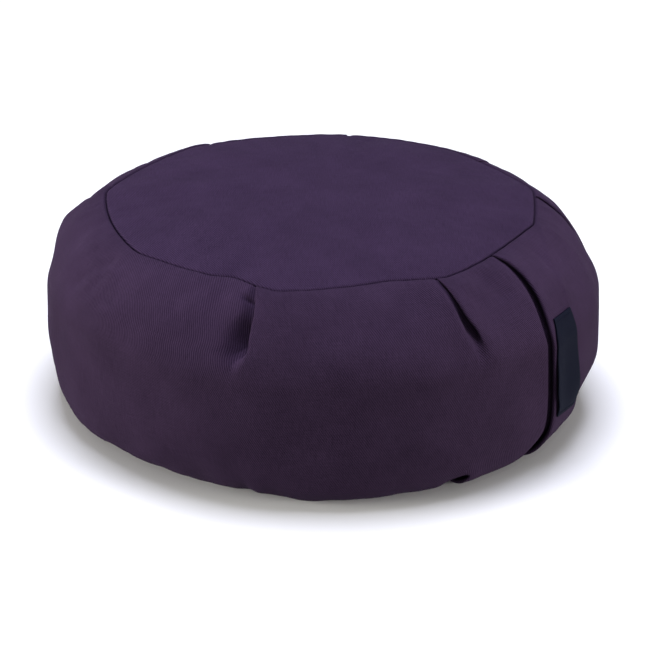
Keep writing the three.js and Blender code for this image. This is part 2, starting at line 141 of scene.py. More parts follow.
def plain_pleat(top: float, mid: float, foot: float, gap: float, reach: float) -> Pleat:
    """A pleat with even paths: folded near both seams, and gone between them.

    Args:
        top: Direction at the top seam, in degrees.
        mid: Direction at the end of its reach.
        foot: Direction at the foot seam.
        gap: How far it stands open at its widest.
        reach: How far down from the top seam it is folded.

    Returns:
        The pleat.
    """
    return Pleat(
        edge=((0, top), (reach, mid), (STRIP, foot)),
        gap=((0, 0.15), (0.6 * reach, gap), (reach + 8, 0.3), (150, 0.3), (172, gap), (STRIP, 0.15)),
        fold=((0, 1), (0.62 * reach, 1), (reach, 0), (148, 0), (168, 1), (STRIP, 1)),
        dent=((0, 1), (0.85 * reach, 1), (1.25 * reach, 0), (132, 0), (164, 1), (STRIP, 1)),
        dip=((0, 2.5), (0.5 * reach, 7), (reach, 9), (150, 10), (STRIP, 5)),
        lift=0.5,
    )


PLEATS = (
    Pleat(
        edge=((0, -106.4), (4, -106), (27, -104.6), (38, -104.6), (46, -104.9), (54, -105.7), (64, -106.5),
              (120, -104.8), (STRIP, -103.2)),
        gap=((0, 0.15), (8, 0.8), (18, 1.6), (25, 2.8), (33, 6.2), (42, 8.5), (49, 6.6), (57, 2.4),
             (68, 0.5), (150, 0.5), (168, 1.6), (STRIP, 0.2)),
        fold=((0, 1), (39, 1), (58, 0), (160, 0), (176, 1), (STRIP, 1)),
        dent=((0, 1), (50, 1), (74, 0), (128, 0), (160, 0.7), (STRIP, 0.7)),
        dip=((0, 2.5), (12, 4), (24, 6), (34, 9.5), (44, 11), (56, 10), (70, 8), (150, 12),
             (STRIP, 8)),
    ),
    Pleat(
        edge=((0, -59.9), (11, -59.6), (28, -58.7), (37, -58.1), (46, -57.4), (60, -56.4),
              (120, -58), (STRIP, -58.6)),
        gap=((0, 0.15), (6, 0.5), (15, 1.3), (26, 3.0), (35, 4.5), (43, 3.9), (51, 2.2), (59, 0.9),
             (69, 0.4), (146, 0.4), (154, 5.5), (167, 7), (178, 4), (STRIP, 0.5)),
        fold=((0, 1), (32, 1), (56, 0), (144, 0), (155, 1), (STRIP, 1)),
        dent=((0, 1), (40, 1), (54, 0.7), (74, 0), (140, 0), (153, 1), (STRIP, 1)),
        dip=((0, 2), (10, 2.8), (30, 3.6), (43, 4.8), (62, 6), (142, 10), (160, 9), (STRIP, 6)),
    ),
    Pleat(
        edge=((0, -37.7), (11, -37.4), (24, -37.3), (36, -37.6), (46, -38.0), (60, -38.4), (69, -38.3),
              (89, -37.5), (110, -36.7), (132, -36.2), (147, -36.8), (STRIP, -37.2)),
        gap=((0, 0.15), (8, 0.8), (20, 2), (38, 3.8), (50, 4.2), (60, 3.2), (70, 2.4), (130, 2.4),
             (144, 4.6), (156, 8.6), (168, 8.8), (178, 5), (STRIP, 0.4)),
        fold=((0, 1), (STRIP, 1)),
        dent=((0, 1), (STRIP, 1)),
        dip=((0, 2), (14, 2.6), (40, 3), (130, 3.6), (152, 8), (STRIP, 8)),
        depth=20,
        lift=2.6,
    ),
    plain_pleat(11, 5, 9, 0.3, 40),
    plain_pleat(42, 44, 42, 1.4, 55),
    plain_pleat(84, 85, 83, 1.8, 54),
    plain_pleat(124, 126, 125, 1.4, 56),
    plain_pleat(168, 166, 168, 1.2, 53),
)
OVERLAP = PLEATS[2]

CORNERS = (
    Corner(-143.0, 151.7, 0, 0.40),
    Corner(-118.7, 146.4, 0, 0.46),
    Corner(-113.8, 140.2, 0, 1.00, 4.5),
    Corner(-101.5, 152.1, 1.2, 0.99, 2.5),
    Corner(-72.8, 137.4, 0, 0.00),
    Corner(-57.8, 146.6, 0.3, 0.49, 4.5),
    Corner(-36.6, 138.0, 0, 0.02, 2.0),
    Corner(-10.1, 144.4, 0, 0.25, 1.4),
    Corner(16.0, 152.7, 0, 0.40),
    Corner(52.0, 153.4, 0, 0.97),
    Corner(89.0, 152.0, 0, 0.60),
    Corner(130.0, 153.0, 0, 0.50),
    Corner(172.0, 153.4, 0, 0.57),
)

SWELLS = (
    Swell(174, 58, 16, 26, 2.6),
    Swell(167, 18, 6, 8, -2.4),
    Swell(179.5, 62, 9, 11, -2.8),
    Swell(171, 42, 5, 7, 1.2),
    Swell(-171, 98, 8, 16, 2.2),
    Swell(-141, 158, 5, 14, -1.8),
    Swell(-128, 157, 5, 12, -1.6),
    Swell(-138, 104, 14, 38, -1.8),
    Swell(-116, 150, 18, 24, -2),
    Swell(-108, 60, 3.4, 7, 0.7),
    Swell(-106.7, 14, 1.5, 2.4, -3),
    Swell(-107, 100, 12, 30, 2.6),
    Swell(-101, 158, 6, 12, -2.2),
    Swell(-84, 148, 17, 24, 2.6),
    Swell(-54.2, 64, 2.5, 7, 0.8),
    Swell(-36, 150, 6, 12, -1.4),
    Swell(-12, 104, 20, 24, 2.2),
    Swell(-5, 72, 14, 24, 1.8),
    Swell(-16, 113, 11, 11, 1.3),
    Swell(-11.5, 131, 8, 12.5, -6.4),
    Swell(5, 46, 7, 14, -2.2),
    Swell(22, 16, 12, 12, -1.6),
    Swell(15, 34, 9, 13, -1.5),
)

CREASES = (
    Crease(((10, -146.6), (55, -154.3)), 5, -0.8),
    Crease(((24, -145), (52, -148)), 4.5, -0.6),
    Crease(((28, -142), (54, -142)), 5, -0.5),
    Crease(((2, -48.5), (34, -45)), 9, -1.7),
    Crease(((48, -57), (76, -54.5)), 5, -0.35),
    Crease(((0, -9.8), (10, -14), (28, -24), (47, -27), (56, -28.8)), 3.5, 0.65, 8),
    Crease(((6, -23.2), (38, -25.4)), 5, -1.3),
)

GATHERS = (
    Gather(37, 1.0, 1.3, 7),
    Gather(61, 0.7, 1.9, 5, 1.0),
)


def smoothstep(value: np.ndarray, low: float, high: float) -> np.ndarray:
    """Smooth share from 0 at low to 1 at high."""
    share = np.clip((value - low) / (high - low), 0.0, 1.0)
    return share * share * (3 - 2 * share)


def bell(distance: np.ndarray, width: np.ndarray | float) -> np.ndarray:
    """Bell curve with its middle at zero."""
    return np.exp(-((distance / width) ** 2))


def turn_between(start: np.ndarray | float, end: np.ndarray) -> np.ndarray:
    """Signed angle from one direction to others, in degrees, between -180 and 180."""
    return np.mod(end - start + 180.0, 360.0) - 180.0


def all_round(count: int) -> np.ndarray:
    """Even directions all round, in degrees from -180."""
    return np.linspace(-180.0, 180.0, count, endpoint=False)


def follow(path: Path, place: np.ndarray) -> np.ndarray:
    """Smooth value of a path at places along it, with no overshoot between its points.

    Args:
        path: Pairs of a place and the value there, in order.
        place: The places asked for; outside the path its ends hold.

    Returns:
        The value at each place.
    """
    at, value = np.array(path, dtype=float).T
    step = np.diff(at)
    rise = np.diff(value) / step
    slope = np.zeros_like(at)
    before, after = rise[:-1], rise[1:]
    same_way = before * after > 0
    first, second = 2 * step[1:] + step[:-1], step[1:] + 2 * step[:-1]
    safe_before, safe_after = np.where(same_way, before, 1.0), np.where(same_way, after, 1.0)
    slope[1:-1] = np.where(same_way, (first + second) / (first / safe_before + second / safe_after), 0.0)
    index = np.clip(np.searchsorted(at, place, side="right") - 1, 0, len(step) - 1)
    share = np.clip((place - at[index]) / step[index], 0.0, 1.0)
    near, far = 1 - share, share
    hold = near * near * (1 + 2 * far) * value[index] + far * far * (1 + 2 * near) * value[index + 1]
    lean = near * near * far * slope[index] - far * far * near * slope[index + 1]
    return hold + lean * step[index]


@dataclass(frozen=True)
class Unevenness:
    """Slow waves in the filling under the cloth, the same at each run."""

    seed: int
    amount: float
    shortest: float
    longest: float
    count: int = 24

    def at(self, points: np.ndarray) -> np.ndarray:
        """How far the cloth stands out at points.

        Args:
            points: Places in millimetres, with a last axis of three.

        Returns:
            The amount in millimetres for each point.
        """
        random = np.random.default_rng(self.seed)
        total = np.zeros(points.shape[:-1])
        for _ in range(self.count):
            way = random.normal(size=3)
            way *= 2 * math.pi / np.linalg.norm(way) / random.uniform(self.shortest, self.longest)
            total += np.sin(points @ way + random.uniform(0, 2 * math.pi))
        return total * self.amount * math.sqrt(2 / self.count)


@dataclass(frozen=True)
class Relief:
    """A small relief known on an even grid of rows by directions, and read smoothly between them.

    The columns run once round from -180 degrees. The rows run from 0 to span.
    """

    grid: np.ndarray
    span: float

    def weights(self, share: np.ndarray) -> list[np.ndarray]:
        """Weights of the four grid lines round a place, for a smooth surface through their middle."""
        far, near = share, 1 - share
        return [
            near**3 / 6,
            (3 * far**3 - 6 * far**2 + 4) / 6,
            (3 * near**3 - 6 * near**2 + 4) / 6,
            far**3 / 6,
        ]

    def at(self, angle: np.ndarray, place: np.ndarray) -> np.ndarray:
        """Reads the relief.

        Args:
            angle: Directions in degrees.
            place: Places along the rows, from 0 to span.

        Returns:
            The amount in millimetres, outward positive.
        """
        angle, place = np.broadcast_arrays(angle, place)
        rows, columns = self.grid.shape
        across = np.mod(angle + 180.0, 360.0) / 360.0 * columns
        along = np.clip(place / self.span, 0, 1) * (rows - 1)
        column, row = np.floor(across).astype(int), np.minimum(np.floor(along).astype(int), rows - 2)
        total = np.zeros(angle.shape)
        for i, by_row in enumerate(self.weights(along - row)):
            for j, by_column in enumerate(self.weights(across - column)):
                picked = self.grid[np.clip(row + i - 1, 0, rows - 1), (column + j - 1) % columns]
                total += by_row * by_column * picked
        return total


@dataclass
class CushionForm:
    """The filled shape that all the cloth pieces lie on, with its driving sizes in millimetres."""

    body_radius: float = 190.0
    belly_height: float = 86.0
    seam_height: float = 137.6
    crown_height: float = 150.0
    foot_radius: float = 150.0
    mean_seam_radius: float = 147.0
    upper_fullness: float = 1.24
    lower_fullness: float = 0.51
    crown_fullness: float = 2.8
    sag_width: float = 12.0
    foot_corner_share: float = 0.6
    pucker: float = 0.12
    pucker_reach: float = 7.5
    stations: int = 1600
    directions: int = 2880
    rounding_samples: int = 15
    slope_stations: int = 8
    filling_fade: tuple[float, float] = (2.0, 18.0)
    crease_start: float = 1.0
    filling: Unevenness = Unevenness(seed=11, amount=0.4, shortest=34.0, longest=75.0)
    shift: tuple[float, float] = (0.0, 0.0)
    side_relief: Relief | None = None
    crown_relief: Relief | None = None

    def __post_init__(self) -> None:
        """Walks the section and the seam once, for the lookups that follow."""
        self._walk_section()
        self._angles = all_round(self.directions)
        offsets = np.linspace(-1.0, 1.0, self.rounding_samples + 2)[1:-1]
        weights = 1 + np.cos(math.pi * offsets)
        at, widths = zip(*((corner.angle, corner.rounding) for corner in CORNERS))
        rounding = np.interp(self._angles, at, widths, period=360.0)
        nearby = [self._sharp_radius(self._angles + rounding * offset) for offset in offsets]
        self._radii = np.tensordot(weights, np.stack(nearby), axes=1) / weights.sum()
        self._heights = np.full_like(self._angles, self.seam_height)
        for corner in CORNERS:
            self._heights -= corner.sag * bell(turn_between(corner.angle, self._angles), self.sag_width)

    def _walk_section(self) -> None:
        """Walks the side's mean section from the top seam to the foot seam."""
        turn = np.linspace(0.0, math.pi, self.stations + 1)
        upper = turn <= math.pi / 2
        quarter = np.where(upper, turn, turn - math.pi / 2)
        fullness = np.where(upper, self.upper_fullness, self.lower_fullness)
        sine = np.clip(np.sin(quarter), 0, 1) ** fullness
        cosine = np.clip(np.cos(quarter), 0, 1) ** fullness
        self._spread = np.where(upper, sine, cosine)
        self._rise = np.where(upper, cosine, sine)
        inner = np.where(upper, self.mean_seam_radius, self.foot_radius)
        radius = inner + (self.body_radius - inner) * self._spread
        height = np.where(
            upper,
            self.belly_height + (self.seam_height - self.belly_height) * self._rise,
            self.belly_height * (1 - self._rise),
        )
        steps = np.hypot(np.diff(radius), np.diff(height))
        self._down = np.concatenate([[0.0], np.cumsum(steps)])
        self._radius = radius
        ahead = np.minimum(np.arange(len(turn)) + self.slope_stations, len(turn) - 1)
        behind = np.maximum(np.arange(len(turn)) - self.slope_stations, 0)
        run, fall = radius[ahead] - radius[behind], height[ahead] - height[behind]
        length = np.hypot(run, fall)
        self._out_x, self._out_z = -fall / length, run / length
        self.side_length = float(self._down[-1])
        self._belly_down = float(self._down[int(np.argmax(~upper)) - 1])

    def _sharp_radius(self, angle: np.ndarray) -> np.ndarray:
        """Radius of the top seam with its corners sharp.

        Args:
            angle: Directions in degrees.

        Returns:
            The radius in millimetres for each direction.
        """
        radius = np.zeros_like(angle)
        for here, following in zip(CORNERS, CORNERS[1:] + CORNERS[:1]):
            span = (following.angle - here.angle) % 360
            along = np.mod(angle - here.angle, 360)
            arc = here.radius + (following.radius - here.radius) * along / span
            swept = here.radius * following.radius * math.sin(math.radians(span))
            reach = here.radius * np.sin(np.radians(along)) + following.radius * np.sin(
                np.radians(span - along)
            )
            inside = along < span
            chord = np.where(inside, swept / np.where(inside, reach, 1.0), 0.0)
            radius = np.where(inside, chord + (arc - chord) * here.bow, radius)
        return radius

    def seam_radius(self, angle: np.ndarray) -> np.ndarray:
        """Radius of the top seam at directions in degrees."""
        return np.interp(angle, self._angles, self._radii, period=360.0)

    def seam_level(self, angle: np.ndarray) -> np.ndarray:
        """Height of the top seam at directions in degrees."""
        return np.interp(angle, self._angles, self._heights, period=360.0)

    def foot_seam_radius(self, angle: np.ndarray) -> np.ndarray:
        """Radius of the foot seam at directions in degrees."""
        return self.foot_radius + self.foot_corner_share * (
            self.seam_radius(angle) - self.mean_seam_radius
        )

    def mean_radius(self, down: np.ndarray) -> np.ndarray:
        """Mean radius of the side at lengths of cloth down from the top seam."""
        return np.interp(down, self._down, self._radius)

    def from_seams(self, down: np.ndarray) -> np.ndarray:
        """Lengths of cloth to the nearer seam."""
        return np.minimum(down, self.side_length - down)

    def middle(self, height: float) -> np.ndarray:
        """The point in the form's middle at a height."""
        return np.array([*self.shift, 0.0]) + np.array([0, 0, height])

    def seam_pucker(self, angle: np.ndarray, inside: np.ndarray) -> np.ndarray:
        """Small gathers that the sewing draws into the cloth beside the top seam.

        Args:
            angle: Directions in degrees.
            inside: Distances from the seam, in millimetres.

        Returns:
            The amount in millimetres, outward positive.
        """
        turn = np.radians(angle)
        wave = sum(gather.at(turn) for gather in GATHERS)
        return self.pucker * wave * np.exp(-np.clip(inside, 0, None) / self.pucker_reach)

    def cover(self, angle: np.ndarray, down: np.ndarray) -> np.ndarray:
        """How far the cloth stands out from the plain section, apart from the folds.

        Args:
            angle: Directions in degrees.
            down: Lengths of cloth down from the top seam.

        Returns:
            The amount in millimetres, outward positive.
        """
        angle, down = np.broadcast_arrays(angle, down)
        amount = np.zeros(angle.shape)
        for swell in SWELLS:
            across = bell(turn_between(swell.angle, angle), swell.across)
            amount += swell.amount * across * bell(down - swell.down, swell.along)
        radius = self.mean_radius(down)
        for crease in CREASES:
            start, end = crease.path[0][0], crease.path[-1][0]
            off = np.radians(turn_between(follow(crease.path, down), angle)) * radius
            fade = smoothstep(down, start - self.crease_start, start + crease.taper)
            fade = fade * (1 - smoothstep(down, end - crease.taper, end))
            amount += crease.amount * fade * bell(off, crease.width)
        base = self.side_point(angle, down, np.zeros(angle.shape))
        amount += self.filling.at(base) * smoothstep(self.from_seams(down), *self.filling_fade)
        if self.side_relief:
            amount += self.side_relief.at(angle, down)
        return amount + self.seam_pucker(angle, down)

    def side_point(self, angle: np.ndarray, down: np.ndarray, proud: np.ndarray) -> np.ndarray:
        """Points of the side.

        Args:
            angle: Directions in degrees.
            down: Lengths of cloth down from the top seam.
            proud: How far each point stands proud of the filled shape.

        Returns:
            An array of points with a last axis of three.
        """
        angle, down, proud = np.broadcast_arrays(angle, down, proud)
        spread = np.interp(down, self._down, self._spread)
        rise = np.interp(down, self._down, self._rise)
        out_x = np.interp(down, self._down, self._out_x)
        out_z = np.interp(down, self._down, self._out_z)
        upper = down <= self._belly_down
        inner = np.where(upper, self.seam_radius(angle), self.foot_seam_radius(angle))
        level = np.where(
            upper,
            self.belly_height + (self.seam_level(angle) - self.belly_height) * rise,
            self.belly_height * (1 - rise),
        )
        radius = inner + (self.body_radius - inner) * spread + proud * out_x
        height = np.maximum(level + proud * out_z, 0.0)
        return self.polar(angle, radius, height)

    def polar(self, angle: np.ndarray, radius: np.ndarray, height: np.ndarray) -> np.ndarray:
        """Points from directions in degrees, radii and heights."""
        angle, radius, height = np.broadcast_arrays(angle, radius, height)
        turn = np.radians(angle)
        return np.stack(
            [radius * np.cos(turn) + self.shift[0], radius * np.sin(turn) + self.shift[1], height], axis=-1
        )

    def crown(self, angle: np.ndarray, share: np.ndarray) -> np.ndarray:
        """Height of the top panel's face at a share of the way from its middle to the seam."""
        seam = self.seam_level(angle)
        return seam + (self.crown_height - seam) * (1 - share**self.crown_fullness)


@dataclass
class ClothSettling:
    """Lets air pressure settle a loose plain copy of the filled shape, held at both seams.

    What is kept of it is the small unevenness that sewing leaves in filled cloth. The sizes are in
    millimetres.
    """

    form: CushionForm
    columns: int = 220
    rows: int = 38
    crown_rings: int = 22
    slack: float = 0.035
    pressure: float = 4.0
    stiffness: float = 15.0
    bending: float = 0.05
    frames: int = 20
    local: float = 9.0
    share: float = 0.35
    most: float = 0.6
    quality: int = 6
    base_shares: tuple[float, ...] = (0.8, 0.5)

    def copy(self) -> bpy.types.Object:
        """Makes the plain copy, with its seams and its underside in a vertex group of held points.

        Returns:
            The copy, a closed piece.
        """
        form = self.form
        angle = all_round(self.columns)
        place, down = np.meshgrid(angle, np.linspace(0.0, form.side_length, self.rows))
        side = form.side_point(place, down, np.zeros(place.shape))
        crown = [
            form.polar(angle, share * form.seam_radius(angle), form.crown(angle, np.array(share)))
            for share in np.linspace(0.0, 1.0, self.crown_rings + 2)[1:-1]
        ]
        foot = form.foot_seam_radius(angle)
        base = [form.polar(angle, share * foot, np.zeros_like(angle)) for share in self.base_shares]
        rings = np.concatenate([np.stack(crown), side, np.stack(base)])
        no_uvs = np.zeros((*rings.shape[:2], 2, 2))
        top_pole, foot_pole = form.middle(form.crown_height), form.middle(0.0)
        piece = ring_solid("settling_cloth", top_pole, rings, foot_pole, no_uvs)
        start = 1 + self.crown_rings * self.columns
        foot_start = start + (self.rows - 1) * self.columns
        held = piece.vertex_groups.new(name="held")
        held.add(list(range(start, start + self.columns)), 1.0, "REPLACE")
        held.add(list(range(foot_start, len(piece.data.vertices))), 1.0, "REPLACE")
        return piece

    def settle(self) -> None:
        """Runs the simulation, gives its relief to the form and takes the copy away."""
        piece = self.copy()
        cloth = piece.modifiers.new("Cloth", "CLOTH")
        settings = cloth.settings
        settings.quality = self.quality
        settings.tension_stiffness = self.stiffness
        settings.compression_stiffness = self.stiffness
        settings.bending_stiffness = self.bending
        settings.vertex_group_mass = "held"
        settings.use_pressure = True
        settings.uniform_pressure_force = self.pressure
        settings.shrink_min = -self.slack
        settings.effector_weights.gravity = 0.0
        cloth.collision_settings.use_collision = False
        scene = bpy.context.scene
        cloth.point_cache.frame_start, cloth.point_cache.frame_end = 1, self.frames
        for frame_number in range(1, self.frames + 1):
            scene.frame_set(frame_number)
        settled = piece.evaluated_get(bpy.context.evaluated_depsgraph_get()).data
        count = len(piece.data.vertices)
        before, after, normals = np.empty(count * 3), np.empty(count * 3), np.empty(count * 3)
        piece.data.vertices.foreach_get("co", before)
        piece.data.vertices.foreach_get("normal", normals)
        settled.vertices.foreach_get("co", after)
        moved = ((after - before) * normals).reshape(-1, 3).sum(axis=1) / MM
        scene.frame_set(1)
        mesh = piece.data
        bpy.data.objects.remove(piece)
        bpy.data.meshes.remove(mesh)
        grid = self.small_part(moved[1:-1].reshape(-1, self.columns))
        crown, side = grid[: self.crown_rings], grid[self.crown_rings : self.crown_rings + self.rows]
        flat = np.zeros((1, self.columns))
        self.form.side_relief = Relief(side, self.form.side_length)
        self.form.crown_relief = Relief(np.concatenate([flat, crown[::-1], flat]), 1.0)
        LOG.info("settled cloth: %.2f mm at most", float(np.abs(grid).max()))

    def small_part(self, moved: np.ndarray) -> np.ndarray:
        """Keeps the local part of a movement, capped.

        Args:
            moved: Movement along the normals, rings by columns, in millimetres.

        Returns:
            The relief, of the same shape.
        """
        turns = np.fft.rfftfreq(self.columns, 1 / self.columns)
        kept = 1 - np.exp(-((turns / self.local) ** 2))
        local = np.fft.irfft(np.fft.rfft(moved, axis=1) * kept, self.columns, axis=1)
        return self.most * np.tanh(self.share * local / self.most)


# Places of a fold's columns: shares of its depth, then directions round the turn of its upper layer.
FLAP_SHARES = (0.12, 0.3, 0.55, 0.8, 0.95)
TURN_STEPS = (0, 30, 60, 90, 120, 150, 180)
HIDDEN_TURN = 1 + len(FLAP_SHARES)
PAST_HIDDEN_TURN = len(FLAP_SHARES) + len(TURN_STEPS)
OPENING_LOSS = 0.6
HIDDEN_OPENING = 0.2
LAYER_BLEND = 0.45


@dataclass(frozen=True)
class FoldColumn:
    """One column of a pleat: where it lies when the cloth is open, and when it is folded.

    flat is its place when open, share and shift its place when folded, as a share of the pleat's
    depth and of the flap's thickness. layers and opening are the shares of the flap's thickness
    and of the gap that it lies under, and upper says how much it belongs to the upper layer.
    """

    flat: float
    share: float
    shift: float
    layers: float
    opening: float
    upper: float


def fold_columns(half_width: float) -> list[FoldColumn]:
    """The columns of a pleat, from the lower layer round the hidden turn to the upper layer.

    Args:
        half_width: Half the width of cloth that the columns take when open.

    Returns:
        The columns, in order of their place along the cloth.
    """
    steps: list[tuple[float, float, float, float]] = []
    for share in (0.0, *FLAP_SHARES):
        steps.append((share, 0.0, 1.0, 1.0 - OPENING_LOSS * share))
    steps.append((1.0, 0.0, 1.0, HIDDEN_OPENING))
    for share in reversed(FLAP_SHARES):
        steps.append((share, 0.0, 1.0, 0.0))
    for turn in TURN_STEPS:
        inset = 0.5 * (1 - math.sin(math.radians(turn)))
        steps.append((0.0, inset, 0.5 + 0.5 * math.cos(math.radians(turn)), 0.0))
    half = (len(steps) - 1) / 2
    columns = []
    for i, (share, shift, layers, opening) in enumerate(steps):
        flat = (i - half) / half * half_width
        blend = LAYER_BLEND * half_width
        upper = float(smoothstep(np.array(flat), -blend, blend))
        columns.append(FoldColumn(flat, share, shift, layers, opening, upper))
    return columns


def new_mesh_object(name: str, points: np.ndarray, faces: np.ndarray, uvs: np.ndarray) -> bpy.types.Object:
    """Makes a mesh object at the origin from points, four-sided faces and a UV for each corner.

    Args:
        name: The object's name.
        points: Points in millimetres, one row each.
        faces: Four point numbers a row; a repeated last number marks a triangle.
        uvs: A UV in millimetres for each corner of each face.

    Returns:
        The new object, in metres, shaded smooth and linked to the scene.
    """
    polygons, loops = [], []
    for face, corners in zip(faces.tolist(), (uvs * MM).tolist()):
        count = 3 if face[2] == face[3] else 4
        polygons.append(face[:count])
        loops.extend(corners[:count])
    mesh = bpy.data.meshes.new(name)
    mesh.from_pydata((points * MM).tolist(), [], polygons)
    layer = mesh.uv_layers.new(name="Cloth")
    layer.data.foreach_set("uv", np.asarray(loops, dtype=np.float32).ravel())
    mesh.polygons.foreach_set("use_smooth", [True] * len(mesh.polygons))
    mesh.update()
    piece = bpy.data.objects.new(name, mesh)
    bpy.context.scene.collection.objects.link(piece)
    return piece


def ring_solid(
    name: str, top_pole: np.ndarray, rings: np.ndarray, bottom_pole: np.ndarray, ring_uvs: np.ndarray
) -> bpy.types.Object:
    """Makes a closed piece from rings stacked from top to bottom between two poles.

    Args:
        name: The object's name.
        top_pole: The point that closes the top.
        rings: Points, rings by columns by three.
        bottom_pole: The point that closes the bottom.
        ring_uvs: UVs, rings by columns by left and right side by two.

    Returns:
        The new object.
    """
    ring_count, count = rings.shape[:2]
    points = np.concatenate([[top_pole], rings.reshape(-1, 3), [bottom_pole]])
    column = np.arange(count)
    following = (column + 1) % count
    index = 1 + np.arange(ring_count)[:, None] * count
    a, b = index[:-1] + column, index[1:] + column
    c, d = index[1:] + following, index[:-1] + following
    walls = np.stack([a, b, c, d], axis=-1).reshape(-1, 4)
    right, left = ring_uvs[:, :, 1], ring_uvs[:, following, 0]
    wall_uvs = np.stack([right[:-1], right[1:], left[1:], left[:-1]], axis=2).reshape(-1, 4, 2)
    pole = np.zeros(count, dtype=int)
    first, last = 1 + column, 1 + (ring_count - 1) * count + column
    cap = np.stack([pole, first, 1 + following, 1 + following], axis=-1)
    end = np.full(count, len(points) - 1)
    last_next = 1 + (ring_count - 1) * count + following
    foot = np.stack([end, last_next, last, last], axis=-1)
    pole_uv = np.zeros((count, 2))
    cap_uvs = np.stack([pole_uv, right[0], left[0], left[0]], axis=1)
    foot_uvs = np.stack([pole_uv, left[-1], right[-1], right[-1]], axis=1)
    faces = np.concatenate([walls, cap, foot])
    uvs = np.concatenate([wall_uvs, cap_uvs, foot_uvs])
    return new_mesh_object(name, points, faces, uvs)


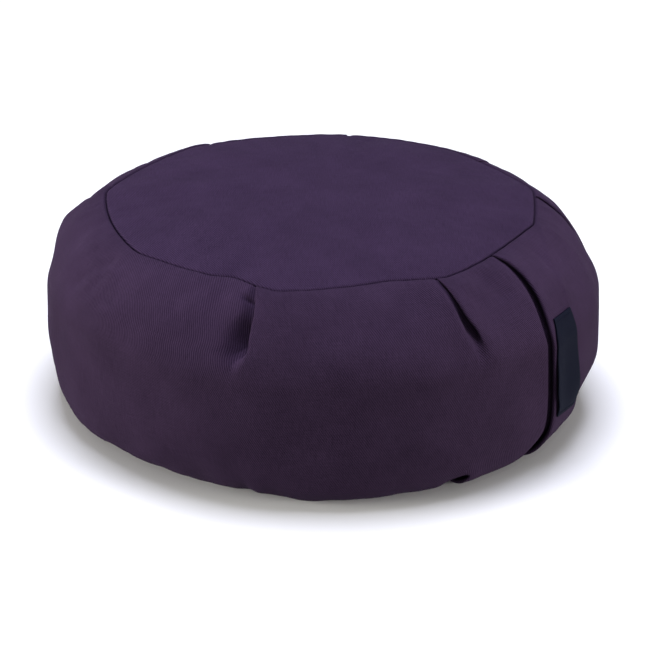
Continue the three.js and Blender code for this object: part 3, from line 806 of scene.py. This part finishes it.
@dataclass
class SideBand:
    """The pleated strip round the side, filled, with its ends overlapped in front of the right side."""

    form: CushionForm
    flap_thickness: float = 2.6
    seam_gap: float = 0.5
    lip_radius: float = 1.6
    lip_depth: float = 2.6
    panel_cloth: float = 2.0
    piece_gap: float = 0.3
    fold_half_width: float = 9.0
    pinch: float = 0.35
    pinch_reach: float = 9.0
    column_pitch: float = 2.1
    rows: int = 112
    least_columns: int = 24
    even_columns: float = 0.5
    row_gathering: float = 0.6
    wall_start: float = 1.1
    lift_fade: tuple[float, float] = (-3.0, 12.0)
    seam_stack: float = 0.4
    lip_turns: tuple[int, ...] = (72, 48, 24, 0)
    hidden_inset: float = 1.2
    hidden_shares: tuple[float, ...] = (0.97, 0.78, 0.45)
    lip_cloth: float = 0.6

    def under_panel(self) -> float:
        """Depth of the band's hidden faces under a panel's outer face."""
        return self.panel_cloth + self.piece_gap

    def flap(self, down: np.ndarray) -> np.ndarray:
        """Thickness of a fold's upper layer, pinched thinner towards both seams."""
        opened = smoothstep(self.form.from_seams(down), 0, self.pinch_reach)
        return self.flap_thickness * (self.pinch + (1 - self.pinch) * opened)

    def upper_relief(self, pleat: Pleat, down: np.ndarray, off: np.ndarray) -> np.ndarray:
        """How far a pleat's upper layer stands proud.

        Args:
            pleat: The pleat.
            down: Lengths down the side.
            off: Distances from the fold edge towards the higher angles.

        Returns:
            The amount in millimetres.
        """
        fade = smoothstep(self.form.from_seams(down), *self.lift_fade)
        lift = pleat.lift * follow(pleat.dent, down) * fade
        return lift * bell(np.clip(off, 0, None), pleat.lift_reach)

    def lower_relief(self, pleat: Pleat, down: np.ndarray, off: np.ndarray) -> np.ndarray:
        """How far a pleat's lower layer sinks beside the fold edge.

        Args:
            pleat: The pleat.
            down: Lengths down the side.
            off: Distances from the fold edge, negative towards the lower angles.

        Returns:
            The amount in millimetres, mostly negative.
        """
        lift = self.upper_relief(pleat, down, np.zeros_like(down))
        step = (self.flap(down) + follow(pleat.gap, down)) * follow(pleat.dent, down)
        return (lift - step) * bell(np.clip(off, None, 0), follow(pleat.dip, down))

    def row_lengths(self) -> np.ndarray:
        """Lengths down the side of the wall's rows, closer together near both seams."""
        share = np.linspace(0.0, 1.0, self.rows)
        eased = share - self.row_gathering * np.sin(2 * math.pi * share) / (2 * math.pi)
        start = self.lip_radius * self.wall_start
        return start + (self.form.side_length - 2 * start) * eased

    def folded(self, pleat: Pleat, down: np.ndarray) -> tuple[list[np.ndarray], list[np.ndarray]]:
        """The columns of one pleat.

        Args:
            pleat: The pleat.
            down: Lengths down the side, one for each row.

        Returns:
            The columns' directions in degrees, and their relief in millimetres.
        """
        radius = self.form.mean_radius(down)
        edge, fold, gap = follow(pleat.edge, down), follow(pleat.fold, down), follow(pleat.gap, down)
        dent, flap = follow(pleat.dent, down), self.flap(down)
        lift = self.upper_relief(pleat, down, np.zeros_like(down))
        angles, reliefs = [], []
        for column in fold_columns(self.fold_half_width):
            closed_place = pleat.depth * column.share + flap * column.shift
            off = column.flat + (closed_place - column.flat) * fold
            lower, upper = self.lower_relief(pleat, down, off), self.upper_relief(pleat, down, off)
            opened = lower + (upper - lower) * column.upper
            closed = lift - (flap * column.layers + gap * column.opening) * dent
            angles.append(edge + np.degrees(off / radius))
            reliefs.append(opened + (closed - opened) * fold**2)
        return angles, reliefs

    def wall(self, down: np.ndarray) -> tuple[np.ndarray, np.ndarray, np.ndarray, list[int]]:
        """The wall's columns, row by row.

        Args:
            down: Lengths down the side, one for each row.

        Returns:
            Directions, reliefs and points, each rows by columns, and the column of each hidden turn.
        """
        form = self.form
        radius = form.mean_radius(down)
        folds = [self.folded(pleat, down) for pleat in PLEATS]
        angles, reliefs, tips = [], [], []
        for i, pleat in enumerate(PLEATS):
            following = (i + 1) % len(PLEATS)
            tips.append(len(angles) + HIDDEN_TURN)
            angles += folds[i][0]
            reliefs += folds[i][1]
            last, first = folds[i][0][-1], folds[following][0][0]
            span = np.mod(first - last, 360.0)
            wide = math.radians(float(span.max())) * form.body_radius
            steps = max(self.least_columns, round(wide / self.column_pitch))
            edge, next_edge = follow(pleat.edge, down), follow(PLEATS[following].edge, down)
            for step in range(1, steps):
                even = step / steps
                eased = (1 - math.cos(math.pi * even)) / 2
                share = self.even_columns * even + (1 - self.even_columns) * eased
                angle = last + span * share
                from_edge = np.radians(np.mod(angle - edge, 360.0)) * radius
                to_next = -np.radians(np.mod(next_edge - angle, 360.0)) * radius
                relief = self.upper_relief(pleat, down, from_edge)
                relief = relief + self.lower_relief(PLEATS[following], down, to_next)
                angles.append(angle)
                reliefs.append(relief)
        angle, relief = np.stack(angles, axis=1), np.stack(reliefs, axis=1)
        places = np.broadcast_to(down[:, None], angle.shape)
        points = form.side_point(angle, places, relief + form.cover(angle, places))
        return angle, relief, points, tips

    def cloth_uvs(self, points: np.ndarray, down: np.ndarray, tips: list[int]) -> np.ndarray:
        """Measures the cloth along each row, so that the weave follows it into the folds.

        The measure starts about midway between two pleats and runs both ways to the hidden turns.

        Args:
            points: The wall's points.
            down: Lengths down the side of the rows.
            tips: The column of each pleat's hidden turn.

        Returns:
            UVs in millimetres, rows by columns by left and right side by two.
        """
        rows, count = points.shape[:2]
        lengths = np.linalg.norm(np.roll(points, -1, axis=1) - points, axis=2)
        uvs = np.zeros((rows, count, 2, 2))
        uvs[..., 1] = -down[:, None, None]
        for tip, following in zip(tips, tips[1:] + [tips[0] + count]):
            order = np.arange(tip, following + 1)
            steps = lengths[:, order[:-1] % count]
            walked = np.concatenate([np.zeros((rows, 1)), np.cumsum(steps, axis=1)], axis=1)
            middle = (len(order) + PAST_HIDDEN_TURN) // 2
            place = points[rows // 2, order[middle] % count]
            turn = math.atan2(place[1], place[0]) % (2 * math.pi)
            cloth = walked - walked[:, middle : middle + 1] + turn * self.form.body_radius
            for side, chosen in ((1, slice(0, -1)), (0, slice(1, None))):
                uvs[:, order[chosen] % count, side, 0] = cloth[:, chosen]
        return uvs

    def edge_rings(
        self, seam: Seam, angle: np.ndarray, relief: np.ndarray, row: np.ndarray
    ) -> list[np.ndarray]:
        """The rings past one end of the wall: the lip in the seam's groove, then the hidden face.

        Args:
            seam: The seam at that end.
            angle: Directions of the wall's last row there.
            relief: Relief of that row, which keeps the folded layers apart.
            row: Points of that row.

        Returns:
            The rings, from the wall inwards.
        """
        form = self.form
        plain = row - form.middle(0.0)
        row_radius, row_height = np.hypot(plain[:, 0], plain[:, 1]), plain[:, 2]
        stack = self.seam_stack * (relief - relief.max())
        under = self.under_panel()
        if seam is Seam.TOP:
            radius, level, inward = form.seam_radius(angle), form.seam_level(angle), -1.0
        else:
            radius, level, inward = form.foot_seam_radius(angle), np.zeros_like(angle), 1.0
        inner, start = radius + self.seam_gap / 2 + stack, level + inward * self.lip_depth
        rings = []
        for turn in self.lip_turns:
            share, inset = math.sin(math.radians(turn)), 1 - math.cos(math.radians(turn))
            height = start + (row_height - start) * share
            rings.append(form.polar(angle, inner + (row_radius - inner) * inset, height))
        hidden = (1 - self.hidden_inset / form.mean_seam_radius, *self.hidden_shares)
        for share in hidden:
            face = form.crown(angle, np.array(share)) if seam is Seam.TOP else level
            rings.append(form.polar(angle, share * radius, face + inward * (under - share * stack)))
        return rings

    def build(self) -> bpy.types.Object:
        """Makes the band's mesh.

        Returns:
            The band, a closed piece with its hidden faces under the two panels.
        """
        form = self.form
        down = self.row_lengths()
        angle, relief, points, tips = self.wall(down)
        wall_uvs = self.cloth_uvs(points, down, tips)
        top = self.edge_rings(Seam.TOP, angle[0], relief[0], points[0])
        foot = self.edge_rings(Seam.FOOT, angle[-1], relief[-1], points[-1])
        rings = np.stack([*reversed(top), *points, *foot])
        start_uvs = np.repeat(wall_uvs[:1], len(top), axis=0)
        end_uvs = np.repeat(wall_uvs[-1:], len(foot), axis=0)
        for i in range(len(top)):
            start_uvs[len(top) - 1 - i, ..., 1] += (i + 1) * self.lip_cloth
            end_uvs[i, ..., 1] -= (i + 1) * self.lip_cloth
        uvs = np.concatenate([start_uvs, wall_uvs, end_uvs])
        under = self.under_panel()
        top_pole, foot_pole = form.middle(form.crown_height - under), form.middle(under)
        return ring_solid("band_cloth", top_pole, rings, foot_pole, uvs)


@dataclass
class RoundPanel:
    """A round panel, a sheet whose rim rolls into its seam."""

    form: CushionForm
    seam: Seam
    cloth: float = 2.0
    seam_gap: float = 0.5
    rim_radius: float = 1.8
    rim_depth: float = 1.9
    columns: int = 600
    rings: int = 64
    ring_ease: float = 0.85
    rim_turns: tuple[int, ...] = (22, 45, 67, 90)
    back_shares: tuple[float, ...] = (0.993, 0.94, 0.8, 0.6, 0.4, 0.2)
    filling_fade: tuple[float, float] = (3.0, 30.0)
    pucker_share: float = 0.8
    filling: Unevenness = Unevenness(seed=5, amount=0.3, shortest=45.0, longest=110.0)

    def rim(self, angle: np.ndarray) -> np.ndarray:
        """Radius of the panel's outermost edge."""
        radius = self.form.seam_radius if self.seam is Seam.TOP else self.form.foot_seam_radius
        return radius(angle) - self.seam_gap / 2

    def face_height(self, angle: np.ndarray, radius: np.ndarray) -> np.ndarray:
        """Height of the panel's outer face at directions in degrees and radii."""
        if self.seam is Seam.FOOT:
            return np.zeros(np.broadcast(angle, radius).shape)
        rim = self.rim(angle)
        share = np.minimum(radius / rim, 1.0)
        height = self.form.crown(angle, share)
        uneven = self.filling.at(self.form.polar(angle, radius, np.zeros_like(radius)))
        uneven = uneven * smoothstep(rim - radius, *self.filling_fade)
        if self.form.crown_relief:
            uneven = uneven + self.form.crown_relief.at(angle, 1 - share)
        return height + uneven + self.pucker_share * self.form.seam_pucker(angle, rim - radius)

    def build(self) -> bpy.types.Object:
        """Makes the panel's mesh.

        Returns:
            The panel, a closed sheet.
        """
        form = self.form
        angle = all_round(self.columns)
        rim = self.rim(angle)
        inward = -1.0 if self.seam is Seam.TOP else 1.0
        rim_start = rim - self.rim_radius
        faces = []
        for i in range(1, self.rings + 1):
            radius = rim_start * math.sin(0.5 * math.pi * i / self.rings) ** self.ring_ease
            faces.append((radius, self.face_height(angle, radius)))
        for turn in self.rim_turns:
            radius = rim_start + self.rim_radius * math.sin(math.radians(turn))
            drop = self.rim_depth * (1 - math.cos(math.radians(turn)))
            faces.append((radius, self.face_height(angle, radius) + inward * drop))
        for share in self.back_shares:
            radius = rim * share
            faces.append((radius, self.face_height(angle, radius) + inward * self.cloth))
        rings = np.stack([form.polar(angle, radius, height) for radius, height in faces])
        uvs = np.repeat(rings[:, :, None, :2], 2, axis=2)
        face_pole = form.middle(float(self.face_height(np.zeros(1), np.zeros(1))[0]))
        back_pole = face_pole + np.array([0, 0, inward * self.cloth])
        if self.seam is Seam.FOOT:
            rings, uvs = rings[::-1], uvs[::-1]
            face_pole, back_pole = back_pole, face_pole
        name = "crown_cloth" if self.seam is Seam.TOP else "base_cloth"
        return ring_solid(name, face_pole, rings, back_pole, uvs)


@dataclass
class Label:
    """The woven label sewn by its two ends to the overlap, its lower left edge standing off a little."""

    form: CushionForm
    band: SideBand
    left: Path = ((0, -36.7), (0.2, -37.5), (0.45, -37.2), (0.7, -36.7), (1, -35.4))
    right: Path = ((0, -28.7), (0.45, -27.3), (0.7, -26.1), (1, -24.6))
    left_down: tuple[float, float] = (53.5, 122.8)
    right_down: tuple[float, float] = (53.5, 129.5)
    thickness: float = 0.9
    gap: float = 0.35
    curl: float = 1.2
    curl_width: float = 0.5
    curl_rise: tuple[float, float] = (0.3, 0.62)
    curl_fall: tuple[float, float] = (0.88, 1.0)
    width: float = 30.0
    height: float = 74.0
    columns: int = 32
    rows: int = 74
    stitch_inset: float = 2.6
    stitch_pitch: float = 2.4
    stitch_radius: float = 0.28
    stitch_sink: float = 0.3
    bead_half: float = 0.36
    bead_taper: float = 0.7
    bead_rings: int = 5
    bead_sides: int = 6

    def place(self, across: np.ndarray, along: np.ndarray, proud: float) -> np.ndarray:
        """Points over the cloth at shares of the label's width and height.

        Args:
            across: Shares of the width, from its left edge.
            along: Shares of the height, from its top edge.
            proud: Height over the label's back.

        Returns:
            An array of points with a last axis of three.
        """
        left, right = follow(self.left, along), follow(self.right, along)
        angle = left + (right - left) * across
        start = self.left_down[0] + (self.right_down[0] - self.left_down[0]) * across
        end = self.left_down[1] + (self.right_down[1] - self.left_down[1]) * across
        down = start + (end - start) * along
        radius = self.form.mean_radius(down)
        off = np.radians(angle - follow(OVERLAP.edge, down)) * radius
        relief = self.band.upper_relief(OVERLAP, down, off)
        loose = smoothstep(along, *self.curl_rise) * (1 - smoothstep(along, *self.curl_fall))
        lifted = self.curl * loose * np.clip(1 - across / self.curl_width, 0, 1) ** 2
        total = relief + self.form.cover(angle, down) + self.gap + lifted + proud
        return self.form.side_point(angle, down, total)

    def build(self) -> bpy.types.Object:
        """Makes the label's mesh.

        Returns:
            The label, a closed sheet.
        """
        across, along = np.meshgrid(np.linspace(0, 1, self.columns + 1), np.linspace(0, 1, self.rows + 1))
        front, back = self.place(across, along, self.thickness), self.place(across, along, 0.0)
        rows, columns = across.shape
        number = np.arange(rows * columns).reshape(rows, columns)
        a, b = number[:-1, :-1].ravel(), number[1:, :-1].ravel()
        c, d = number[1:, 1:].ravel(), number[:-1, 1:].ravel()
        offset = rows * columns
        rim = np.concatenate([number[0, :-1], number[:-1, -1], number[-1, :0:-1], number[:0:-1, 0]])
        following = np.roll(rim, -1)
        faces = np.concatenate([
            np.stack([a, b, c, d], axis=1),
            np.stack([a, d, c, b], axis=1) + offset,
            np.stack([rim, following, following + offset, rim + offset], axis=1),
        ])
        place = np.stack([across.ravel() * self.width, -along.ravel() * self.height], axis=1)
        place = np.concatenate([place, place])
        points = np.concatenate([front.reshape(-1, 3), back.reshape(-1, 3)])
        return new_mesh_object("woven_label", points, faces, place[faces])

    def stitches(self) -> bpy.types.Object:
        """Makes the rows of sewing that hold the label's two ends.

        Returns:
            The stitches, one closed bead of thread for each.
        """
        count = int(self.width / self.stitch_pitch) - 1
        middle = self.thickness + self.stitch_sink * self.stitch_radius
        sides, last = self.bead_sides, self.bead_rings - 1
        ends = ((0, (0, 1, 2, 3)), (0, (0, 3, 4, 5)), (last, (0, 3, 2, 1)), (last, (0, 5, 4, 3)))
        points, faces = [], []
        for row in (self.stitch_inset / self.height, 1 - self.stitch_inset / self.height):
            for i in range(count):
                centre = (i + 1) * self.stitch_pitch / self.width
                start = len(points)
                for along_thread in np.linspace(-1, 1, self.bead_rings):
                    across = centre + self.bead_half * self.stitch_pitch * along_thread / self.width
                    girth = self.stitch_radius * (1 - self.bead_taper * along_thread**4)
                    for turn in np.radians(np.arange(0, 360, 360 // sides)):
                        up = middle + girth * math.sin(turn)
                        side = row + girth * math.cos(turn) / self.height
                        points.append(self.place(np.array(across), np.array(side), up))
                for ring in range(last):
                    for step in range(sides):
                        a, b = start + ring * sides + step, start + ring * sides + (step + 1) % sides
                        faces.append((a, a + sides, b + sides, b))
                for ring, order in ends:
                    faces.append(tuple(start + ring * sides + k for k in order))
        faces = np.array(faces)
        return new_mesh_object("label_stitches", np.array(points), faces, np.zeros((len(faces), 4, 2)))


@dataclass(frozen=True)
class Twill:
    """A twill cloth's colours and scale, in metres and degrees."""

    name: str
    raised: Triple
    sunk: Triple
    rib_pitch: float = 1.27 * MM
    rib_angle: float = 33.0
    thread_pitch: float = 0.58 * MM
    relief: float = 0.27 * MM
    roughness: float = 0.85
    specular: float = 0.03
    sheen: float = 0.02
    sheen_roughness: float = 0.45
    sheen_tint: Triple = (0.62, 0.5, 0.72)

    def material(self) -> bpy.types.Material:
        """Makes the cloth's material from the shared weave group.

        Returns:
            The new material.
        """
        material = bpy.data.materials.new(self.name)
        material.use_nodes = True
        tree = material.node_tree
        tree.nodes.clear()
        output = tree.nodes.new("ShaderNodeOutputMaterial")
        shader = tree.nodes.new("ShaderNodeBsdfPrincipled")
        tree.links.new(shader.outputs["BSDF"], output.inputs["Surface"])
        place = tree.nodes.new("ShaderNodeUVMap")
        place.uv_map = "Cloth"
        weave = tree.nodes.new("ShaderNodeGroup")
        weave.node_tree = Weave().group()
        tree.links.new(place.outputs["UV"], weave.inputs["Place"])
        weave.inputs["Rib pitch"].default_value = self.rib_pitch
        weave.inputs["Rib angle"].default_value = math.radians(self.rib_angle)
        weave.inputs["Thread pitch"].default_value = self.thread_pitch
        colour = tree.nodes.new("ShaderNodeMix")
        colour.data_type = "RGBA"
        colour.inputs["A"].default_value = (*self.sunk, 1)
        colour.inputs["B"].default_value = (*self.raised, 1)
        tree.links.new(weave.outputs["Shade"], colour.inputs["Factor"])
        tree.links.new(colour.outputs["Result"], shader.inputs["Base Color"])
        bump = tree.nodes.new("ShaderNodeBump")
        bump.inputs["Strength"].default_value = 1.0
        bump.inputs["Distance"].default_value = self.relief
        tree.links.new(weave.outputs["Height"], bump.inputs["Height"])
        tree.links.new(bump.outputs["Normal"], shader.inputs["Normal"])
        shader.inputs["Roughness"].default_value = self.roughness
        shader.inputs["Specular IOR Level"].default_value = self.specular
        shader.inputs["Sheen Weight"].default_value = self.sheen
        shader.inputs["Sheen Roughness"].default_value = self.sheen_roughness
        shader.inputs["Sheen Tint"].default_value = (*self.sheen_tint, 1)
        return material


class NodeChain:
    """Adds math nodes to a tree, each fed by sockets or numbers."""

    def __init__(self, tree: bpy.types.NodeTree) -> None:
        """Keeps the tree that the nodes go into."""
        self.tree = tree

    def math(self, operation: str, *values: object) -> bpy.types.NodeSocket:
        """Adds one math node.

        Args:
            operation: The node's operation.
            values: A socket or a number for each input.

        Returns:
            The node's output socket.
        """
        node = self.tree.nodes.new("ShaderNodeMath")
        node.operation = operation
        for socket, value in zip(node.inputs, values):
            if isinstance(value, bpy.types.NodeSocket):
                self.tree.links.new(value, socket)
            else:
                socket.default_value = value
        return node.outputs[0]

    def ridges(self, phase: bpy.types.NodeSocket) -> bpy.types.NodeSocket:
        """Even waves from 0 to 1, one for each whole step of the phase."""
        turn = self.math("MULTIPLY", phase, 2 * math.pi)
        return self.math("MULTIPLY_ADD", self.math("COSINE", turn), 0.5, 0.5)

    def noise(self, place: bpy.types.NodeSocket, scale: float, detail: float) -> bpy.types.NodeSocket:
        """Adds a noise texture at a place and returns its value."""
        node = self.tree.nodes.new("ShaderNodeTexNoise")
        node.inputs["Scale"].default_value = scale
        node.inputs["Detail"].default_value = detail
        self.tree.links.new(place, node.inputs["Vector"])
        return node.outputs["Fac"]

    def stretch(self, place: bpy.types.NodeSocket, scale: Triple) -> bpy.types.NodeSocket:
        """Scales a place along its axes and returns the new place."""
        node = self.tree.nodes.new("ShaderNodeMapping")
        node.inputs["Scale"].default_value = scale
        self.tree.links.new(place, node.inputs["Vector"])
        return node.outputs["Vector"]


@dataclass(frozen=True)
class Weave:
    """How the threads of every twill piece stand out and vary in tone."""

    rib_fullness: float = 0.7
    thread_share: float = 0.3
    slub_scale: Triple = (1800, 90, 1)
    slub_share: float = 0.5
    fill_scale: Triple = (60, 1500, 1)
    fill_share: float = 0.3
    cloud_scale: Triple = (28, 28, 28)
    cloud_share: float = 0.36
    height_share: float = 0.55
    darkening: float = 0.4

    def group(self) -> bpy.types.NodeTree:
        """Makes the node group shared by all the twill pieces, once.

        Returns:
            A node group with a place, a rib pitch, a rib angle and a thread pitch going in, and the
            height and shade of the threads coming out.
        """
        known = bpy.data.node_groups.get("Twill weave")
        if known:
            return known
        tree = bpy.data.node_groups.new("Twill weave", "ShaderNodeTree")
        tree.interface.new_socket("Place", in_out="INPUT", socket_type="NodeSocketVector")
        for name in ("Rib pitch", "Rib angle", "Thread pitch"):
            tree.interface.new_socket(name, in_out="INPUT", socket_type="NodeSocketFloat")
        for name in ("Height", "Shade"):
            tree.interface.new_socket(name, in_out="OUTPUT", socket_type="NodeSocketFloat")
        ends = tree.nodes.new("NodeGroupInput").outputs
        result = tree.nodes.new("NodeGroupOutput").inputs
        chain = NodeChain(tree)
        split = tree.nodes.new("ShaderNodeSeparateXYZ")
        tree.links.new(ends["Place"], split.inputs[0])
        across = chain.math("MULTIPLY", split.outputs["X"], chain.math("COSINE", ends["Rib angle"]))
        up = chain.math("MULTIPLY", split.outputs["Y"], chain.math("SINE", ends["Rib angle"]))
        rib_phase = chain.math("DIVIDE", chain.math("ADD", across, up), ends["Rib pitch"])
        rib = chain.math("POWER", chain.ridges(rib_phase), self.rib_fullness)
        thread = chain.ridges(chain.math("DIVIDE", split.outputs["Y"], ends["Thread pitch"]))
        thread = chain.math("MULTIPLY_ADD", thread, self.thread_share, 1 - self.thread_share)
        height = chain.math("MULTIPLY", rib, thread)
        slub = chain.noise(chain.stretch(ends["Place"], self.slub_scale), 1.0, 2.0)
        fill = chain.noise(chain.stretch(ends["Place"], self.fill_scale), 1.0, 2.0)
        cloud = chain.noise(chain.stretch(ends["Place"], self.cloud_scale), 1.0, 3.0)
        slub = chain.math("MULTIPLY", slub, self.slub_share)
        fill = chain.math("MULTIPLY", fill, self.fill_share)
        tone = chain.math("ADD", slub, fill)
        tone = chain.math("ADD", tone, chain.math("MULTIPLY", cloud, self.cloud_share))
        tone = chain.math("SUBTRACT", tone, self.darkening)
        shade = chain.math("MULTIPLY_ADD", height, self.height_share, tone)
        limit = tree.nodes.new("ShaderNodeClamp")
        tree.links.new(shade, limit.inputs["Value"])
        tree.links.new(height, result["Height"])
        tree.links.new(limit.outputs[0], result["Shade"])
        return tree


@dataclass(frozen=True)
class SoftLight:
    """A square soft light, in metres and watts."""

    name: str
    place: Triple
    size: float
    power: float
    colour: Triple


LIGHTS = (
    SoftLight("overhead", (0.0, 0.2, 2.2), 1.2, 49, (0.97, 0.99, 1.18)),
    SoftLight("left_bank", (-3.2, -0.76, 0.3), 1.4, 174, (1.0, 0.98, 0.94)),
    SoftLight("right_bank", (2.8, -0.98, 0.1), 1.1, 120, (1.0, 0.98, 0.94)),
)


@dataclass
class Studio:
    """The floor, the soft lights and the camera."""

    distance: float = 1600.6 * MM
    elevation: float = 23.5
    roll: float = 0.0202
    aim: Triple = (0.38 * MM, 0.0, 50.04 * MM)
    focal_pixels: float = 2278.6
    frame_pixels: float = 646.0
    sensor: float = 36.0
    surround: float = 0.31
    clip: tuple[float, float] = (0.05, 50.0)
    light_aim: Triple = (0.0, 0.0, 0.07)
    floor_size: float = 12.0
    floor_colour: Triple = (0.93, 0.93, 0.91)

    def camera(self) -> None:
        """Makes the camera at the photograph's angle and sets it as the scene's own."""
        data = bpy.data.cameras.new("view")
        data.sensor_width = self.sensor
        data.lens = self.sensor * self.focal_pixels / self.frame_pixels
        data.clip_start, data.clip_end = self.clip
        camera = bpy.data.objects.new("view", data)
        bpy.context.scene.collection.objects.link(camera)
        tilt = math.radians(self.elevation)
        aim = Vector(self.aim)
        camera.location = aim + Vector((0, -math.cos(tilt), math.sin(tilt))) * self.distance
        looking = (aim - camera.location).to_track_quat("-Z", "Y").to_matrix().to_4x4()
        place = Matrix.Translation(camera.location) @ looking @ Matrix.Rotation(self.roll, 4, "Z")
        camera.matrix_world = place
        bpy.context.scene.camera = camera

    def light(self, kind: SoftLight) -> None:
        """Adds a soft light that faces the cushion."""
        data = bpy.data.lights.new(kind.name, "AREA")
        data.shape = "SQUARE"
        data.size = kind.size
        data.energy = kind.power
        data.color = kind.colour
        lamp = bpy.data.objects.new(kind.name, data)
        bpy.context.scene.collection.objects.link(lamp)
        lamp.location = kind.place
        lamp.rotation_euler = (Vector(self.light_aim) - lamp.location).to_track_quat("-Z", "Y").to_euler()

    def build(self) -> None:
        """Makes the floor, the lights and the surrounding light."""
        bpy.ops.mesh.primitive_plane_add(size=self.floor_size, location=(0, 0, 0))
        floor = bpy.context.active_object
        floor.name = "studio_floor"
        material = bpy.data.materials.new("pale_floor")
        material.use_nodes = True
        shader = material.node_tree.nodes["Principled BSDF"]
        shader.inputs["Base Color"].default_value = (*self.floor_colour, 1)
        shader.inputs["Roughness"].default_value = 1.0
        shader.inputs["Specular IOR Level"].default_value = 0.0
        floor.data.materials.append(material)
        floor.visible_diffuse = False
        world = bpy.data.worlds.new("studio")
        world.use_nodes = True
        world.node_tree.nodes["Background"].inputs["Color"].default_value = (1, 1, 1, 1)
        world.node_tree.nodes["Background"].inputs["Strength"].default_value = self.surround
        scene = bpy.context.scene
        scene.world = world
        scene.view_settings.view_transform = "Standard"
        for kind in LIGHTS:
            self.light(kind)


def dress(piece: bpy.types.Object, node: str, material: bpy.types.Material) -> None:
    """Gives a piece its finish and its body, and hides the solid that it stands for."""
    piece.data.materials.append(material)
    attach(piece, ROOT)
    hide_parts(node)
    LOG.info("%s: %d faces, for %s", piece.name, len(piece.data.polygons), node)


def centre_form(form: CushionForm, band: SideBand) -> None:
    """Moves the form so that its middle is the middle of the band's solid."""
    low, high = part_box("side_band")
    points = band.wall(band.row_lengths())[2].reshape(-1, 3)
    middle = (points.min(axis=0) + points.max(axis=0)) / 2
    target = [(low[axis] + high[axis]) / 2 / MM for axis in (0, 1)]
    form.shift = (float(target[0] - middle[0]), float(target[1] - middle[1]))


def main() -> None:
    """Builds the studio and the cushion's pieces, in the order of making."""
    bpy.ops.object.select_all(action="DESELECT")
    studio = Studio()
    studio.camera()
    studio.build()
    form = CushionForm()
    band = SideBand(form)
    centre_form(form, band)
    ClothSettling(form).settle()
    twill = Twill("violet_twill", (0.058, 0.0335, 0.0735), (0.0125, 0.0066, 0.0168))
    # The top panel's twill is the band's twill with more blue: painted cool light from above on the crown,
    # not a different cloth.
    crown_twill_painted_top_light = Twill("violet_twill_painted_cool_top_light", (0.058, 0.0335, 0.0775), (0.0125, 0.0066, 0.0178))
    label_cloth = Twill(
        "label_cloth", (0.0071, 0.0085, 0.0186), (0.0037, 0.0045, 0.0102),
        rib_pitch=0.6 * MM, relief=0.05 * MM, specular=0.04, sheen=0.0,
    )
    side = band.build()
    dress(side, "side_band", twill.material())
    top = RoundPanel(form, Seam.TOP).build()
    dress(top, "top_panel", crown_twill_painted_top_light.material())
    base = RoundPanel(form, Seam.FOOT).build()
    dress(base, "bottom_panel", twill.material())
    label = Label(form, band)
    woven = label.build()
    dress(woven, "label", label_cloth.material())
    stitches = label.stitches()
    stitches.data.materials.append(label_cloth.material())
    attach(stitches, ROOT)
    LOG.info("%s: %d faces", stitches.name, len(stitches.data.polygons))


if __name__ == "__main__":
    logging.basicConfig(level=logging.INFO)
    main()
